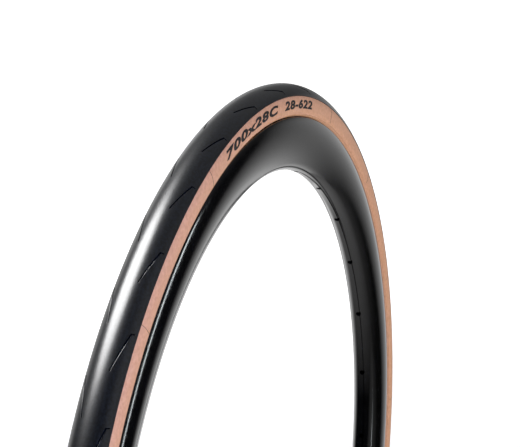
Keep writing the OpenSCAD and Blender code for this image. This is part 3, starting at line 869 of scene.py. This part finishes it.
def make_world():
    """White to the camera. Gloss sees a dim room, with a pale floor that is brightest behind the wheel."""
    world = bpy.data.worlds.new("studio")
    scene.world = world
    world.use_nodes = True
    world.cycles.sampling_method = "NONE"
    tree = world.node_tree
    back = tree.nodes["Background"]
    back.inputs["Color"].default_value = (1, 1, 1, 1)
    way = add(tree, "ShaderNodeTexCoord").outputs["Generated"]
    facing = add(tree, "ShaderNodeVectorMath", {0: way, 1: FAR_FLOOR}, operation="DOT_PRODUCT")
    part = parts_of(tree, way)
    near = math_node(tree, "MULTIPLY", part["Y"], -1.0)
    sky = math_node(
        tree, "MULTIPLY", spread(tree, part["Z"], **SKY_GLOW), spread(tree, part["X"], **SKY_FADE)
    )
    wall = math_node(tree, "ADD", sky, spread(tree, facing.outputs["Value"], **FAR_GLOW))
    wall = math_node(tree, "ADD", wall, spread(tree, near, **NEAR_GLOW))
    room = math_node(tree, "MAXIMUM", wall, spread(tree, part["Z"], **GROUND_GLOW))
    light_path = add(tree, "ShaderNodeLightPath").outputs
    shiny = math_node(tree, "MAXIMUM", light_path["Is Glossy Ray"], light_path["Is Transmission Ray"])
    unseen = add(tree, "ShaderNodeMix", {0: shiny, 2: AMBIENT, 3: room}).outputs[0]
    strength = add(tree, "ShaderNodeMix", {0: light_path["Is Camera Ray"], 2: unseen, 3: 1.0}).outputs[0]
    tree.links.new(strength, back.inputs["Strength"])


def make_card():
    """Pale card beside the wheel, seen only in its gloss. It fades out towards its near and top edges."""
    made, tree, shader = new_material("pale_card")
    shader.inputs["Base Color"].default_value = (0, 0, 0, 1)
    shader.inputs["Specular IOR Level"].default_value = 0.0
    shader.inputs["Emission Color"].default_value = (1, 1, 1, 1)
    at = parts_of(tree, world_place(tree))
    across, up = spread(tree, at["Y"], **CARD_ACROSS), spread(tree, at["Z"], **CARD_UP)
    tree.links.new(math_node(tree, "MULTIPLY", across, up), shader.inputs["Emission Strength"])
    x, y0, y1, z0, z1 = CARD_X, CARD_EDGE_Y, CARD_END_Y, FLOOR_Z, CARD_TOP
    card = stage_plane("card", [(x, y0, z0), (x, y1, z0), (x, y1, z1), (x, y0, z1)], made)
    card.visible_camera = False
    card.visible_diffuse = False
    card.visible_shadow = False


make_floor()
make_world()
make_card()


# Light and camera

UP = Vector((0, 0, 1))
KEY_AIM = Vector((-0.2, 0, 0.25))
KEY_AT = Vector((-0.46, 0.95, 2.17))
GLOSS_AT = Vector((-0.44, 0.88, 2.03))
STRIP_FOOT = Vector((0.466, -1.132, -0.42))
STRIP_HEAD = Vector((0.832, -0.774, 0.228))
STRIP_W = 0.042
STRIP_AIM = Vector((-0.23, 0, 0))
COOL_AT = Vector((-0.8, -0.6, 0.6))
COOL_AIM = Vector((-0.28, 0, 0.18))
LOW_AT = Vector((-0.1, -0.9, -0.2))
LOW_AIM = Vector((0, 0, 0.2))

# Camera fitted to the photo, which is 520 pixels wide
CAMERA_AT = Vector((-1.063366, -0.397408, 0.560404))
CAMERA_WAY = Vector((0.903298, 0.334359, -0.268806))
CAMERA_UP = Vector((0.253889, 0.088441, 0.963181))
FOCAL_PX = 1636.98
IMAGE_W = 520
SENSOR = 36.0
CLIP_END = 100.0


def placed(at, way, up):
    """Matrix of a camera or lamp at a place, looking a way with its own upright."""
    back = -way.normalized()
    right = up.cross(back).normalized()
    turn = Matrix((right, back.cross(right), back)).transposed().to_4x4()
    return Matrix.Translation(at) @ turn


def softbox(
    name, at, aim, size, watts,
    colour=(1, 1, 1), shape="ELLIPSE", upright=UP, glossy=True, diffuse=True,
):
    """Area lamp, which may light only the matt or only the glossy part of the surfaces."""
    data = bpy.data.lights.new(name, "AREA")
    data.shape = shape
    data.size, data.size_y = size
    data.energy = watts
    data.color = colour
    obj = bpy.data.objects.new(name, data)
    scene.collection.objects.link(obj)
    obj.matrix_world = placed(at, aim - at, upright)
    obj.visible_glossy = glossy
    obj.visible_diffuse = diffuse


def make_lamps():
    """Key and its larger gloss, a tilted strip for the line on the rim's lip, and two matt fills."""
    softbox("key", KEY_AT, KEY_AIM, size=(1.0, 1.0), watts=33, glossy=False)
    softbox("gloss_card", GLOSS_AT, KEY_AIM, size=(1.72, 1.72), watts=202, diffuse=False)
    strip = STRIP_HEAD - STRIP_FOOT
    softbox(
        "edge_strip", (STRIP_FOOT + STRIP_HEAD) / 2, STRIP_AIM, size=(STRIP_W, strip.length), watts=1.55,
        colour=(0.90, 0.97, 1.0), shape="RECTANGLE", upright=strip, diffuse=False,
    )
    softbox(
        "left_fill", COOL_AT, COOL_AIM, size=(0.4, 0.4), watts=8.2,
        colour=(0.40, 0.49, 1.0), glossy=False,
    )
    softbox(
        "low_fill", LOW_AT, LOW_AIM, size=(0.7, 0.3), watts=3.8,
        colour=(1.0, 0.86, 0.34), glossy=False,
    )


def make_camera():
    data = bpy.data.cameras.new("camera")
    data.sensor_fit = "HORIZONTAL"
    data.sensor_width = SENSOR
    data.lens = FOCAL_PX / IMAGE_W * SENSOR
    data.clip_end = CLIP_END
    obj = bpy.data.objects.new("camera", data)
    scene.collection.objects.link(obj)
    obj.matrix_world = placed(CAMERA_AT, CAMERA_WAY, CAMERA_UP)
    scene.camera = obj


make_lamps()
make_camera()
scene.view_settings.view_transform = "Standard"
